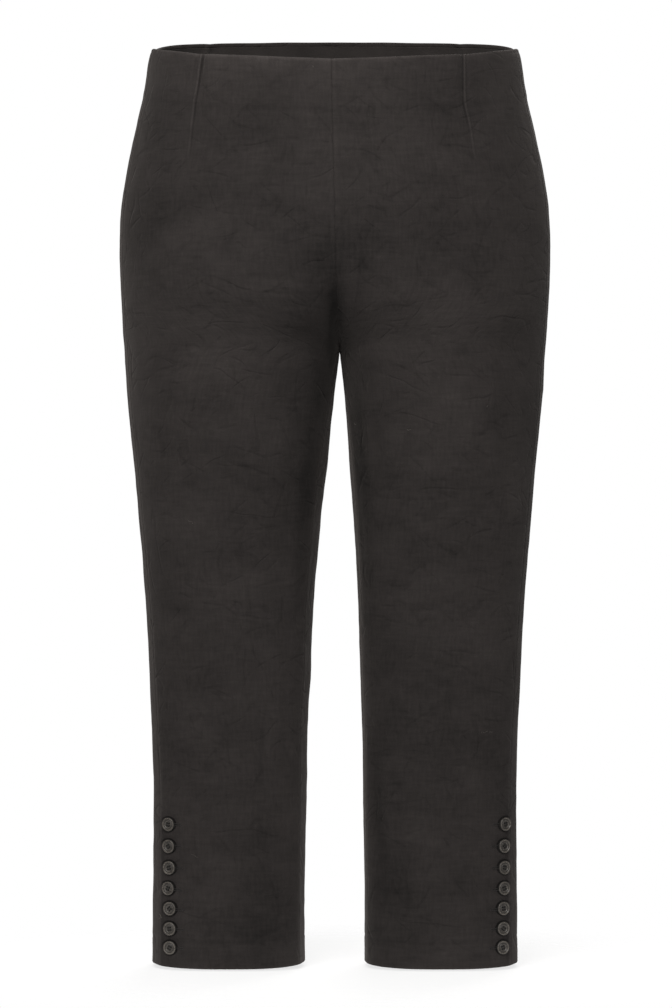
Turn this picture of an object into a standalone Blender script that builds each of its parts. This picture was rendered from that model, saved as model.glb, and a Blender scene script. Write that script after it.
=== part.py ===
"""Straight-leg cropped trousers with a buttoned side vent on each leg, hollow, in their worn shape.

The origin is the centre of the waist opening, level with its two side corners. +X is the wearer's left,
-Y the front and +Z up. Sizes in the tables are millimetres, and drop is the distance below the origin.
The cloth is one smooth surface for each half of the body. Its levels are half outlines of the hips that
close into the ring of a leg at the crotch. A panel is the stretch of that surface between two seams.
"""

import math
from collections import namedtuple

import bmesh
import bpy
import numpy as np
from mathutils import Matrix, Vector

MM = 0.001

# Cloth and seams
CLOTH = 1.4
HEM_CLOTH = 2.7
FACING_CLOTH = 1.0
UNDERLAP_CLOTH = 1.2
SEAM_GAP = 0.3
LAYER_GAP = 0.3

# Heights, as drops below the waist
FACING_DEPTH = 55.0
DART_LENGTH = 110.0
CROTCH = 312.0
VENT_TOP = 800.0
HEM_FOLD = 928.5
HEM_RAMP = 2.0
HEM = 956.6

# How the waist edge and the hem leave the level
RIM_FADE = 150.0
HEM_BOW = 2.9
HEM_FADE = 70.0
UNDERLAP_SHORT = 1.5

DART_DEPTH = 1.0
FOLD_MARGIN = 18.0
LEFT_INSEAM_SHARE = 0.5

# Outlines of one half. outer is the side, gap half the space between the legs, mid_front and mid_back the
# seams' x at the centre, front and back the depths, cleft how far the half has closed into a leg (1 is a
# whole leg), square the outline's exponent, side_in and inner_in how far forward of the outermost and
# innermost point the side seam and the inseam lie, measured across the view from the front.
Section = namedtuple(
    "Section",
    "drop outer gap mid_front mid_back front back cleft_front cleft_back square side_in inner_in",
)
SECTIONS = [
    Section(0.0, 191.5, 0.0, -3.5, 0.0, 128.0, 130.0, 0.0, 0.0, 2.35, 2.4, 0.0),
    Section(8.0, 194.0, 0.0, -3.4, 0.0, 129.0, 132.5, 0.0, 0.0, 2.35, 2.8, 0.0),
    Section(42.0, 199.3, 0.0, -3.0, 0.0, 132.5, 142.0, 0.0, 0.0, 2.33, 3.6, 0.0),
    Section(84.0, 209.1, 0.0, -2.2, 0.0, 136.5, 154.0, 0.0, 0.0, 2.31, 4.2, 0.0),
    Section(126.0, 218.1, 0.0, -1.4, 0.0, 140.0, 163.5, 0.0, 0.0, 2.29, 4.6, 0.0),
    Section(168.0, 224.3, 0.0, -0.6, 0.0, 142.0, 169.0, 0.0, 0.04, 2.27, 4.8, 0.0),
    Section(210.0, 225.8, 0.0, 0.4, 0.4, 141.5, 170.0, 0.07, 0.15, 2.25, 4.8, 0.0),
    Section(252.0, 224.6, 0.0, 2.0, 2.0, 136.5, 164.0, 0.41, 0.38, 2.23, 4.8, 0.0),
    Section(273.0, 223.6, 0.0, 3.0, 3.0, 131.5, 157.0, 0.65, 0.59, 2.22, 4.8, 0.0),
    Section(294.0, 222.4, 0.0, 4.2, 4.2, 125.0, 146.5, 0.88, 0.85, 2.2, 4.8, 0.0),
    Section(305.0, 221.6, 0.0, 4.8, 4.8, 121.0, 140.0, 0.972, 0.965, 2.2, 4.8, 0.0),
    Section(312.0, 221.0, 0.0, 5.0, 5.0, 118.5, 136.5, 1.0, 1.0, 2.2, 4.8, 0.0),
    Section(357.0, 218.2, 4.7, 4.7, 4.7, 108.0, 121.5, 1.0, 1.0, 2.2, 4.8, 3.0),
    Section(399.0, 214.5, 8.4, 4.2, 4.2, 100.0, 111.0, 1.0, 1.0, 2.2, 4.8, 6.0),
    Section(441.0, 210.0, 12.3, 3.4, 3.4, 93.5, 102.0, 1.0, 1.0, 2.22, 5.0, 8.0),
    Section(483.0, 206.3, 16.6, 2.4, 2.4, 88.0, 94.5, 1.0, 1.0, 2.25, 5.2, 8.0),
    Section(525.0, 202.8, 19.7, 2.0, 2.0, 83.0, 88.0, 1.0, 1.0, 2.3, 5.4, 8.0),
    Section(567.0, 199.3, 22.8, 1.0, 1.0, 78.5, 83.0, 1.0, 1.0, 2.36, 5.7, 8.0),
    Section(609.0, 196.4, 24.6, 0.5, 0.5, 74.5, 78.5, 1.0, 1.0, 2.42, 6.1, 7.5),
    Section(651.0, 194.5, 25.9, 0.4, 0.4, 71.5, 75.0, 1.0, 1.0, 2.5, 6.6, 7.0),
    Section(693.0, 192.7, 28.2, -0.2, -0.2, 68.5, 71.5, 1.0, 1.0, 2.58, 7.1, 7.0),
    Section(735.0, 191.0, 29.4, -0.2, -0.2, 66.0, 68.5, 1.0, 1.0, 2.65, 7.6, 6.5),
    Section(777.0, 189.9, 29.8, -0.3, -0.3, 63.5, 66.0, 1.0, 1.0, 2.72, 7.9, 6.0),
    Section(840.0, 190.1, 31.0, -0.7, -0.7, 60.5, 62.5, 1.0, 1.0, 2.8, 8.0, 5.5),
    Section(900.0, 190.7, 31.7, -0.8, -0.8, 58.0, 59.5, 1.0, 1.0, 2.86, 8.0, 5.0),
    Section(HEM, 191.0, 31.7, -0.4, -0.4, 56.5, 57.0, 1.0, 1.0, 2.9, 8.0, 5.0),
]

# The waist edge: across is the share of the half width, then how far the front hangs and the back rises.
Rim = namedtuple("Rim", "across front_hang back_rise")
RIM = [
    Rim(0.0, 22.3, 22.1),
    Rim(0.28, 20.1, 21.8),
    Rim(0.58, 16.4, 19.5),
    Rim(0.735, 14.1, 17.1),
    Rim(0.79, 11.8, 16.3),
    Rim(0.895, 7.6, 12.8),
    Rim(0.963, 4.1, 9.3),
    Rim(1.0, 0.0, 0.0),
]

# Columns of a panel's surface, as shares of its width from the side seam, at the waist, at the dart's point
# and on the leg. dart is 1 on the dart's own line.
Column = namedtuple("Column", "waist point leg dart")
FRONT_COLUMNS = [
    Column(0.0, 0.0, 0.0, 0),
    Column(0.035, 0.035, 0.035, 0),
    Column(0.11, 0.11, 0.1, 0),
    Column(0.21, 0.22, 0.185, 0),
    Column(0.31, 0.33, 0.27, 0),
    Column(0.385, 0.42, 0.355, 0),
    Column(0.402, 0.436, 0.435, 1),
    Column(0.419, 0.452, 0.515, 0),
    Column(0.5, 0.53, 0.59, 0),
    Column(0.6, 0.625, 0.665, 0),
    Column(0.7, 0.72, 0.745, 0),
    Column(0.8, 0.815, 0.83, 0),
    Column(0.9, 0.91, 0.915, 0),
    Column(1.0, 1.0, 1.0, 0),
]
BACK_COLUMNS = [
    Column(0.0, 0.0, 0.0, 0),
    Column(0.06, 0.06, 0.06, 0),
    Column(0.14, 0.14, 0.14, 0),
    Column(0.24, 0.24, 0.22, 0),
    Column(0.34, 0.34, 0.3, 0),
    Column(0.44, 0.44, 0.375, 0),
    Column(0.505, 0.49, 0.45, 0),
    Column(0.52, 0.505, 0.525, 1),
    Column(0.535, 0.52, 0.6, 0),
    Column(0.62, 0.61, 0.675, 0),
    Column(0.71, 0.71, 0.755, 0),
    Column(0.81, 0.81, 0.835, 0),
    Column(0.91, 0.91, 0.92, 0),
    Column(1.0, 1.0, 1.0, 0),
]
UNDERLAP_COLUMNS = 3

# Rows of the surface: the drop of each at the side seam and at the inner seam. Those above the crotch sweep
# down to it, so that they end at even steps round the curve of the centre seam.
Row = namedtuple("Row", "drop inner")
FACING_ROWS = [Row(d, d) for d in (0.0, 6.0, 18.0, 35.0, FACING_DEPTH)]
HIP_ROWS = [Row(d, d) for d in (72.0, 92.0, DART_LENGTH, 130.0, 152.0, 175.0, 197.0)]
CROTCH_ROWS = [
    Row(216.0, 219.0),
    Row(232.0, 238.0),
    Row(246.0, 256.0),
    Row(259.0, 272.0),
    Row(271.0, 286.0),
    Row(282.0, 297.0),
    Row(292.5, 305.5),
    Row(302.5, 310.5),
    Row(CROTCH, CROTCH),
]
THIGH_DROPS = (323.0, 337.0, 356.0, 380.0, 410.0, 442.0, 476.0, 510.0, 545.0)
SHIN_DROPS = (580.0, 615.0, 650.0, 690.0, 730.0, 765.0)
LEG_ROWS = [Row(d, d) for d in THIGH_DROPS + SHIN_DROPS]
HEM_ROWS = [Row(d, d) for d in (VENT_TOP, 832.0, 864.0, 896.0, HEM_FOLD - HEM_RAMP, HEM_FOLD, 942.0, HEM)]
ROWS = FACING_ROWS + HIP_ROWS + CROTCH_ROWS + LEG_ROWS + HEM_ROWS

# Soft folds: the panel, the drops it runs between, where it starts and ends across the panel, and its size
Fold = namedtuple("Fold", "panel top bottom start end width depth")
FOLDS = [
    Fold("front_right", 352.0, 640.0, 0.86, 0.8, 17.0, 3.2),
    Fold("front_right", 650.0, 830.0, 0.62, 0.6, 15.0, 1.6),
    Fold("front_right", 740.0, 925.0, 0.84, 0.78, 24.0, 3.0),
    Fold("front_left", 310.0, 500.0, 0.88, 0.82, 17.0, 3.0),
    Fold("front_left", 490.0, 620.0, 0.45, 0.85, 22.0, 2.0),
    Fold("front_left", 690.0, 925.0, 0.88, 0.76, 22.0, 2.8),
    Fold("back_right", 262.0, 400.0, 0.5, 0.9, 24.0, 3.6),
    Fold("back_right", 330.0, 470.0, 0.4, 0.84, 22.0, 3.0),
    Fold("back_right", 540.0, 640.0, 0.25, 0.75, 26.0, 2.6),
    Fold("back_right", 700.0, 900.0, 0.7, 0.62, 22.0, 2.4),
    Fold("back_left", 258.0, 390.0, 0.46, 0.9, 24.0, 3.6),
    Fold("back_left", 345.0, 490.0, 0.36, 0.82, 22.0, 2.8),
    Fold("back_left", 560.0, 650.0, 0.7, 0.3, 26.0, 2.6),
    Fold("back_left", 680.0, 880.0, 0.74, 0.66, 22.0, 2.4),
]

# Buttons: height of each row, and how far in from the leg's outline each leg's button sits
ButtonPlace = namedtuple("ButtonPlace", "drop in_right in_left")
BUTTON_PLACES = [
    ButtonPlace(809.5, 17.4, 13.5),
    ButtonPlace(832.3, 17.7, 14.6),
    ButtonPlace(854.6, 18.4, 14.7),
    ButtonPlace(876.1, 17.6, 15.2),
    ButtonPlace(897.0, 19.4, 16.1),
    ButtonPlace(917.4, 19.5, 16.4),
    ButtonPlace(936.5, 19.7, 17.0),
]
BUTTON_LIFT = 0.5
BUTTON_TURN = math.radians(8)
BUTTON_SIDES = 14

# A button's outline from its back face round to the dished middle of its front
Turning = namedtuple("Turning", "radius height")
BUTTON_OUTLINE = [
    Turning(6.2, 0.0),
    Turning(7.2, 0.8),
    Turning(7.2, 1.8),
    Turning(6.5, 2.5),
    Turning(5.0, 2.3),
    Turning(3.0, 1.5),
]

LEFT = 1
RIGHT = -1
SIDES = {"left": LEFT, "right": RIGHT}

CLOTH_COLOUR = (0.033, 0.029, 0.027, 1.0)
FACING_COLOUR = (0.028, 0.025, 0.023, 1.0)
BUTTON_COLOUR = (0.075, 0.064, 0.053, 1.0)
CLOTH_ROUGHNESS = 0.92
BUTTON_ROUGHNESS = 0.45

FINE_STEPS = 160
PROBE_TURN = 0.01
PROBE_DROP = 0.5
SMOOTH_ANGLE = math.radians(40)


def clear_scene():
    """Remove every object, so that only the garment is in the file."""
    for item in list(bpy.data.objects):
        bpy.data.objects.remove(item, do_unlink=True)


def end_slope(steps, rises):
    """Slope of the curve at its first row, from the row's own step and the next one."""
    slope = ((2 * steps[0] + steps[1]) * rises[0] - steps[0] * rises[1]) / (steps[0] + steps[1])
    if slope * rises[0] <= 0:
        return 0.0
    return slope


def inner_slope(step_in, step_out, rise_in, rise_out):
    """Slope at a row between two others, level where the outline turns back."""
    if rise_in * rise_out <= 0:
        return 0.0
    weight_in = 2 * step_out + step_in
    weight_out = step_out + 2 * step_in
    return (weight_in + weight_out) / (weight_in / rise_in + weight_out / rise_out)


def column_slopes(values):
    """Slopes of a table's column at its rows, for a curve that never swells past them."""
    steps = np.diff(KNOTS)
    rises = np.diff(values) / steps
    slopes = [end_slope(steps, rises)]
    for i in range(len(steps) - 1):
        slopes.append(inner_slope(steps[i], steps[i + 1], rises[i], rises[i + 1]))
    slopes.append(end_slope(steps[::-1], rises[::-1]))
    return np.array(slopes)


KNOTS = np.array([section.drop for section in SECTIONS])
SECTION_COLUMNS = np.array(SECTIONS).T
SECTION_SLOPES = [column_slopes(column) for column in SECTION_COLUMNS]


def section_at(drops):
    """The outline at any drop, on smooth curves through the table's rows."""
    i = np.clip(np.searchsorted(KNOTS, drops) - 1, 0, len(KNOTS) - 2)
    step = KNOTS[i + 1] - KNOTS[i]
    t = (drops - KNOTS[i]) / step
    sizes = []
    for values, slopes in zip(SECTION_COLUMNS, SECTION_SLOPES):
        keep = (1 + 2 * t) * (1 - t) ** 2 * values[i] + (3 - 2 * t) * t**2 * values[i + 1]
        lean = t * (1 - t) ** 2 * slopes[i] - t**2 * (1 - t) * slopes[i + 1]
        sizes.append(keep + step * lean)
    return Section(*sizes)


def fade(distance, reach):
    """1 at no distance, falling softly to 0 at the reach."""
    t = np.clip(distance / reach, 0.0, 1.0)
    return 1 - t * t * (3 - 2 * t)


def half_width(section, side, is_front):
    """Half width and cleft of the half outline's front or back quarter."""
    if is_front:
        middle, cleft = section.mid_front, section.cleft_front
    else:
        middle, cleft = section.mid_back, section.cleft_back
    inner = middle + side * np.maximum(section.gap, SEAM_GAP / 2)
    cleft = np.clip(cleft, 0.0, 1.0)
    return np.abs(side * section.outer - inner) / (1 + cleft), cleft


def surface(side, turns, drops):
    """Outer points of the cloth. A turn is 0 at the side, above 0 in front, below 0 behind."""
    section = section_at(drops)
    sines = np.sin(turns)
    in_front = sines > 0
    half = np.where(in_front, half_width(section, side, True)[0], half_width(section, side, False)[0])
    power = 2 / section.square
    cosines = np.cos(turns)
    x = side * (section.outer - half + half * np.sign(cosines) * np.abs(cosines) ** power)
    depth = np.abs(sines) ** power
    y = np.where(in_front, -section.front * depth, section.back * depth)
    across = np.clip(np.abs(x) / section.outer, 0.0, 1.0)
    places = [row.across for row in RIM]
    hang = np.interp(across, places, [row.front_hang for row in RIM])
    rise = np.interp(across, places, [row.back_rise for row in RIM])
    rim = np.where(y < 0, -hang, rise) * fade(drops, RIM_FADE)
    bow = HEM_BOW * sines**2 * fade(HEM - drops, HEM_FADE)
    return np.stack([x, y, rim - bow - drops], axis=-1)


def surface_normals(side, turns, drops):
    """Outward directions of the cloth at those places."""
    around = surface(side, turns + PROBE_TURN, drops) - surface(side, turns - PROBE_TURN, drops)
    low = np.minimum(drops + PROBE_DROP, HEM)
    high = np.maximum(drops - PROBE_DROP, 0.0)
    down = surface(side, turns, low) - surface(side, turns, high)
    normals = side * np.cross(around, down)
    return normals / np.linalg.norm(normals, axis=-1, keepdims=True)


def inset_turn(inset, half, square):
    """Turn of a point that lies a little inside the outermost one, as seen from the front."""
    return math.acos(max(0.0, 1 - inset / half) ** (square / 2))


def side_seam_turn(side, drop):
    """Turn of the side seam."""
    section = section_at(drop)
    return inset_turn(section.side_in, half_width(section, side, True)[0], section.square)


def inner_seam_turn(side, is_front, drop):
    """Turn of a panel's inner seam: the centre seam above the crotch, the inseam below it."""
    section = section_at(drop)
    half, cleft = half_width(section, side, is_front)
    share = LEFT_INSEAM_SHARE if side == LEFT else 1.0
    forward = inset_turn(share * section.inner_in, half, section.square) if drop > CROTCH else 0.0
    turn = math.acos(-(cleft ** (section.square / 2)))
    return turn - forward if is_front else -turn - forward


def column_shares(columns, drop):
    """Where a panel's columns lie across it at a drop."""
    stations = [0.0, DART_LENGTH, CROTCH]
    return np.array([np.interp(drop, stations, [c.waist, c.point, c.leg]) for c in columns])


def panel_rows(side, is_front):
    """Points, outward directions and widths of a panel, one row for each level."""
    columns = FRONT_COLUMNS if is_front else BACK_COLUMNS
    points, normals, widths = [], [], []
    along = np.linspace(0.0, 1.0, FINE_STEPS)
    for row in ROWS:
        start = side_seam_turn(side, row.drop)
        end = inner_seam_turn(side, is_front, row.inner)
        fine_turns = start + (end - start) * along
        fine_drops = row.drop + (row.inner - row.drop) * along**2
        steps = np.linalg.norm(np.diff(surface(side, fine_turns, fine_drops), axis=0), axis=1)
        run = np.concatenate([[0.0], np.cumsum(steps)])
        inner_gap = SEAM_GAP / 2 if row.inner >= CROTCH else 0.0
        reach = run[-1] - SEAM_GAP / 2 - inner_gap
        places = SEAM_GAP / 2 + reach * column_shares(columns, row.drop)
        turns = np.interp(places, run, fine_turns)
        drops = np.interp(places, run, fine_drops)
        outward = surface_normals(side, turns, drops)
        # The wall at the centre seam goes straight in, so that it stays on its own side.
        if row.inner < CROTCH and side * outward[-1][0] > 0:
            outward[-1][0] = 0.0
        points.append(surface(side, turns, drops))
        normals.append(outward)
        widths.append(run[-1])
    return np.array(points), np.array(normals), np.array(widths)


def fold_depths(name, columns, widths):
    """How far each point of a panel is drawn in by its folds and its dart."""
    depths = np.zeros((len(ROWS), len(columns)))
    is_dart = np.array([column.dart for column in columns])
    for r, row in enumerate(ROWS):
        shares = column_shares(columns, row.drop)
        edges = np.minimum(shares, 1 - shares) * widths[r]
        window = np.minimum(1.0, edges / FOLD_MARGIN)
        for fold in FOLDS:
            along = (row.drop - fold.top) / (fold.bottom - fold.top)
            if fold.panel == name and 0 < along < 1:
                middle = fold.start + (fold.end - fold.start) * along
                across = (shares - middle) * widths[r] / fold.width
                depths[r] += fold.depth * window * math.sin(math.pi * along) * np.exp(-across * across)
        if row.drop < DART_LENGTH:
            depths[r] += DART_DEPTH * is_dart * math.cos(math.pi / 2 * row.drop / DART_LENGTH)
    return depths


def panel_grid(name):
    """The named panel's folded surface and its outward directions."""
    where, side_name = name.split("_")
    is_front = where == "front"
    points, normals, widths = panel_rows(SIDES[side_name], is_front)
    columns = FRONT_COLUMNS if is_front else BACK_COLUMNS
    depths = fold_depths(name, columns, widths)
    return points - normals * depths[..., None], normals


def cloth_thickness():
    """Thickness of the cloth at each row: doubled where the hem is turned up."""
    return np.array([HEM_CLOTH if row.drop >= HEM_FOLD else CLOTH for row in ROWS])


def principled(name, colour, roughness):
    """A material of the object's own."""
    material = bpy.data.materials.new(name + "_finish")
    material.use_nodes = True
    shader = material.node_tree.nodes["Principled BSDF"]
    shader.inputs["Base Color"].default_value = colour
    shader.inputs["Roughness"].default_value = roughness
    shader.inputs["Metallic"].default_value = 0.0
    return material


def add_object(name, mesh_source, colour, roughness):
    """Turn a bmesh into a named, smoothly shaded object with its own material."""
    bmesh.ops.recalc_face_normals(mesh_source, faces=mesh_source.faces[:])
    mesh = bpy.data.meshes.new(name)
    mesh_source.to_mesh(mesh)
    mesh_source.free()
    mesh.shade_smooth()
    mesh.set_sharp_from_angle(angle=SMOOTH_ANGLE)
    mesh.materials.append(principled(name, colour, roughness))
    thing = bpy.data.objects.new(name, mesh)
    bpy.context.collection.objects.link(thing)
    return thing


def add_wall(name, outside, inside, colour):
    """A closed wall between two grids of points, each square split on its short diagonal."""
    rows, columns = outside.shape[:2]
    wall = bmesh.new()
    outer = [[wall.verts.new(Vector(p) * MM) for p in row] for row in outside]
    inner = [[wall.verts.new(Vector(p) * MM) for p in row] for row in inside]
    for r in range(rows - 1):
        for c in range(columns - 1):
            falling = np.linalg.norm(outside[r + 1, c + 1] - outside[r, c])
            rising = np.linalg.norm(outside[r + 1, c] - outside[r, c + 1])
            for sheet in (outer, inner):
                corners = [sheet[r][c], sheet[r + 1][c], sheet[r + 1][c + 1], sheet[r][c + 1]]
                if rising < falling:
                    corners = corners[1:] + corners[:1]
                wall.faces.new((corners[0], corners[1], corners[2]))
                wall.faces.new((corners[0], corners[2], corners[3]))
    border = [(0, c) for c in range(columns)]
    border += [(r, columns - 1) for r in range(1, rows)]
    border += [(rows - 1, c) for c in range(columns - 2, -1, -1)]
    border += [(r, 0) for r in range(rows - 2, 0, -1)]
    for here, there in zip(border, border[1:] + border[:1]):
        a, b = outer[here[0]][here[1]], outer[there[0]][there[1]]
        c, d = inner[there[0]][there[1]], inner[here[0]][here[1]]
        wall.faces.new((a, b, c))
        wall.faces.new((a, c, d))
    return add_object(name, wall, colour, CLOTH_ROUGHNESS)


def add_panel(name, points, normals):
    """One cut panel of cloth, with its hem turned up inside."""
    thickness = cloth_thickness()[:, None, None]
    add_wall(name, points, points - normals * thickness, CLOTH_COLOUR)


def add_facing(name, right_panel, left_panel):
    """The strip inside the waist edge, from one side seam across the centre seam to the other."""
    rows = len(FACING_ROWS)
    joined = []
    for right, left in zip(right_panel, left_panel):
        middle = (right[:rows, -1:] + left[:rows, -1:]) / 2
        joined.append(np.concatenate([right[:rows, :-1], middle, left[:rows, -2::-1]], axis=1))
    points, normals = joined
    normals = normals / np.linalg.norm(normals, axis=-1, keepdims=True)
    outside = points - normals * (CLOTH + LAYER_GAP)
    add_wall(name, outside, outside - normals * FACING_CLOTH, FACING_COLOUR)


def add_underlap(name, points, normals):
    """The strip behind the front's vent edge that the buttons are sewn to."""
    first = ROWS.index(Row(VENT_TOP, VENT_TOP))
    points = points[first:, :UNDERLAP_COLUMNS].copy()
    normals = normals[first:, :UNDERLAP_COLUMNS]
    points[-1, :, 2] += UNDERLAP_SHORT
    thickness = cloth_thickness()[first:, None, None]
    outside = points - normals * (thickness + LAYER_GAP)
    add_wall(name, outside, outside - normals * UNDERLAP_CLOTH, CLOTH_COLOUR)


def add_button(name, side, place):
    """A turned button on the front's vent edge, its face a little nearer the front than the cloth's."""
    section = section_at(place.drop)
    half = half_width(section, side, True)[0]
    inset = place.in_left if side == LEFT else place.in_right
    turn = np.array([inset_turn(inset, half, section.square)])
    seat = Vector(surface(side, turn, place.drop)[0])
    outward = Vector(surface_normals(side, turn, place.drop)[0])
    axis = Matrix.Rotation(-side * BUTTON_TURN, 3, "Z") @ outward
    placing = Matrix.Translation((seat + outward * BUTTON_LIFT) * MM)
    placing = placing @ axis.to_track_quat("Z", "Y").to_matrix().to_4x4()
    disc = bmesh.new()
    rings = []
    for stop in BUTTON_OUTLINE:
        ring = []
        for k in range(BUTTON_SIDES):
            angle = 2 * math.pi * k / BUTTON_SIDES
            spot = Vector((stop.radius * math.cos(angle), stop.radius * math.sin(angle), stop.height))
            ring.append(disc.verts.new(spot * MM))
        rings.append(ring)
    for low, high in zip(rings, rings[1:]):
        for k in range(BUTTON_SIDES):
            nxt = (k + 1) % BUTTON_SIDES
            disc.faces.new((low[k], low[nxt], high[nxt], high[k]))
    disc.faces.new(rings[0])
    disc.faces.new(rings[-1])
    thing = add_object(name, disc, BUTTON_COLOUR, BUTTON_ROUGHNESS)
    thing.matrix_world = placing


def build():
    """Cut and place every piece of the garment."""
    clear_scene()
    grids = {}
    for where in ("front", "back"):
        for side_name in SIDES:
            name = f"{where}_{side_name}"
            grids[name] = panel_grid(name)
            add_panel(name, *grids[name])
        add_facing(f"facing_{where}", grids[f"{where}_right"], grids[f"{where}_left"])
    for side_name, side in SIDES.items():
        add_underlap(f"underlap_{side_name}", *grids[f"front_{side_name}"])
        for number, place in enumerate(BUTTON_PLACES, start=1):
            add_button(f"button_{side_name}_{number}", side, place)


build()
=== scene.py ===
"""Cropped trousers with buttoned vents: cloth, edges, buttonholes and buttons dressed on their solids."""

import math
from collections import namedtuple

import bmesh
import bpy
import numpy as np
from mathutils import Matrix, Vector, noise


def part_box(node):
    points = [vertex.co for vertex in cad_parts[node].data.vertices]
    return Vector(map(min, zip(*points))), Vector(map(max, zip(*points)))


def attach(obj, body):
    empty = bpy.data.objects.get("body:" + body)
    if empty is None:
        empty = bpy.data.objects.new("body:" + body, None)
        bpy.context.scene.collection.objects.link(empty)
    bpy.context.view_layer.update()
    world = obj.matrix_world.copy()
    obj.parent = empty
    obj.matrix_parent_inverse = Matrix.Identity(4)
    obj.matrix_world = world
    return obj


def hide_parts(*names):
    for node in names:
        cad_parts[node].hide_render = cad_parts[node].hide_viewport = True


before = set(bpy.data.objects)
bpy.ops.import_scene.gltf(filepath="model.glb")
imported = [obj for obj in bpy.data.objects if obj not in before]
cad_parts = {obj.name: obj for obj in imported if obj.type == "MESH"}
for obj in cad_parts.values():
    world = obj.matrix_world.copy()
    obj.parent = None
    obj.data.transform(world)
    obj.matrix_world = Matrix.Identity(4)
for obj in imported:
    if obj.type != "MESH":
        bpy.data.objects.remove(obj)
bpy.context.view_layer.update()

MM = 0.001
LEFT = 1
RIGHT = -1
SIDES = {"left": LEFT, "right": RIGHT}
BODY = "root"
WHITE = (1.0, 1.0, 1.0, 1.0)

# ---- Sizes, in millimetres ----

CLOTH = 1.35
ROW_STEP = 3.3
COLUMN_STEP = {"front": 2.8, "back": 3.3}
RIM_PLACES = (1.5, 2.1, 2.9, 3.9, 4.05, 5.0)
HEM_PLACES = (1.45, 2.1, 3.0, 4.2)
EDGE_PLACES = (0.0, 0.5, 1.1, 1.9, 3.0, 4.4)
HEM_LEVEL = -952.0
SOFT_EDGE = math.radians(50)
MERGE = 0.05
CUT_CLEAR = 0.3
FAR_OFF = 99.0
TINY = 1e-9

# How squarely a face has to look along an axis to be the end there
END_FACE = 0.9

SEWN_GAP = 0.05
SEWN_REACH = (1.2, 2.4)
SEWN_CLOSE = 0.3
SEAM_ALLOWANCE = 9.0
TURNING_CLOTH = 0.8
TURNING_SEAT = 1.5
TURNING_FOLD = 0.3
TURNING_PLACES = (9.0, 6.0, 3.0, 1.2)

RIM_RADIUS = 1.5
RIM_TAIL = 2.5
ROLL_TURNS = np.radians((25, 50, 75, 100, 125, 150, 180))
FACING_DEPTH = 52.0
FACING_CLOTH = 0.9
FACING_SEAT = 1.75
FACING_ROLL = 9.0
FACING_TOP = RIM_PLACES[-2] - 0.1
EASE_REACH = 6

HEM_RADIUS = 1.45
HEM_DEPTH = 28.0
HEM_CLEAR = 3.0
HEM_UNEVEN = 0.35
HEM_WAVES = (1.15, 0.31)
TURNING_END = HEM_DEPTH + 0.5

VENT_TOP = 800.0
VENT_EASE = 4.0
UNDERLAP_CLOTH = 1.1
UNDERLAP_PLACES = (19.0, 14.0, 9.0, 5.0, 2.0)
UNDERLAP_BEYOND = (1.5, 3.5, 6.0)
UNDERLAP_END = 2.6
UNDERLAP_SEAT = CLOTH + 0.35
UNDERLAP_HEM_SEAT = 2 * HEM_RADIUS + 0.15

DIMPLE = 1.5
DIMPLE_WIDTH = 8.0
DIMPLE_SHIFT = (2.4, 1.8)

# Between waist and crotch the front's middle seam lies this share shallower, setting in and ending over
# these drops
FLAT_FRONT = 0.6
FLAT_TOP = (110.0, 190.0)
FLAT_FOOT = (300.0, 340.0)

# Soft lines worked along an edge: how much, how far from the edge they lie, and how wide. An amount is a
# depth or, for wear and for shade, how much lighter the colour is: wear lightens the nap, and shade is
# painted shade along a stitched groove, a step or an edge. Below nothing it is a ridge, or darker.
Line = namedtuple("Line", "amount place width")
SEAM_GROOVE = Line(0.4, 0.0, 1.2)
SEAM_RIDGE = Line(-0.2, 5.0, SEAM_ALLOWANCE / 2)
SEAM_WEAR = Line(0.12, 2.2, 1.5)
DART_GROOVE = Line(1.5, 1.4, 1.9)
DART_RIDGE = Line(-1.3, -1.6, 1.8)
RIM_GROOVE = Line(0.25, 4.0, 1.1)
RIM_WEAR = {"front": Line(0.5, 1.0, 2.4), "back": Line(0.1, 1.0, 2.4)}
HEM_GROOVE = Line(0.32, HEM_DEPTH, 1.3)
HEM_WEAR = Line(0.35, 0.0, 2.0)
HEM_SHADE = Line(-0.12, HEM_DEPTH, 1.4)
FACING_MIDDLE = Line(-0.4, 0.0, 0.8)
FACING_SHADE = Line(-0.09, FACING_DEPTH + 1.0, 2.2)
VENT_WEAR = Line(0.4, 1.2, 1.4)
VENT_SHADE = Line(-0.25, 5.0, 1.8)
# Painted shade in the creases' hollows and the dimples round the buttons, painted light on the creases'
# ridges
CREASE_SHADE = 0.2
DIMPLE_SHADE = 0.25

# Bands that lie along an edge: how much, as with the lines, and between which distances they end
Band = namedtuple("Band", "amount low high")
FACING_BAND = Band(-0.4, FACING_DEPTH - 3.0, FACING_DEPTH + 2.0)
FACING_TONE = Band(0.08, FACING_DEPTH - 4.0, FACING_DEPTH + 2.0)
HEM_BAND = Band(-0.25, HEM_DEPTH - 3.0, HEM_DEPTH + 1.0)
HEM_TONE = Band(0.06, HEM_DEPTH - 4.0, HEM_DEPTH)
VENT_BAND = Band(-0.55, 17.0, 24.0)

DART_LENGTH = 112.0
DART_STEP = {"front": 1.5, "back": 2.2}
DART_START = (6.0, 20.0)
DART_POINT = 0.4

# How far down the dart its line stands off its column, towards the side seam
DART_DROPS = (0.0, 29.0, 50.0, 80.0, 112.0)
DART_SHIFTS = {LEFT: (-2.2, -2.0, -2.3, 2.2, 4.3), RIGHT: (-0.6, 3.7, 7.4, 9.4, 10.8)}

VENT_STEP = 1.9
VENT_COLUMNS = 2

# Which coarse column the dart's stitched line lies on
DART_COLUMN = {"front": 6, "back": 7}

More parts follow.
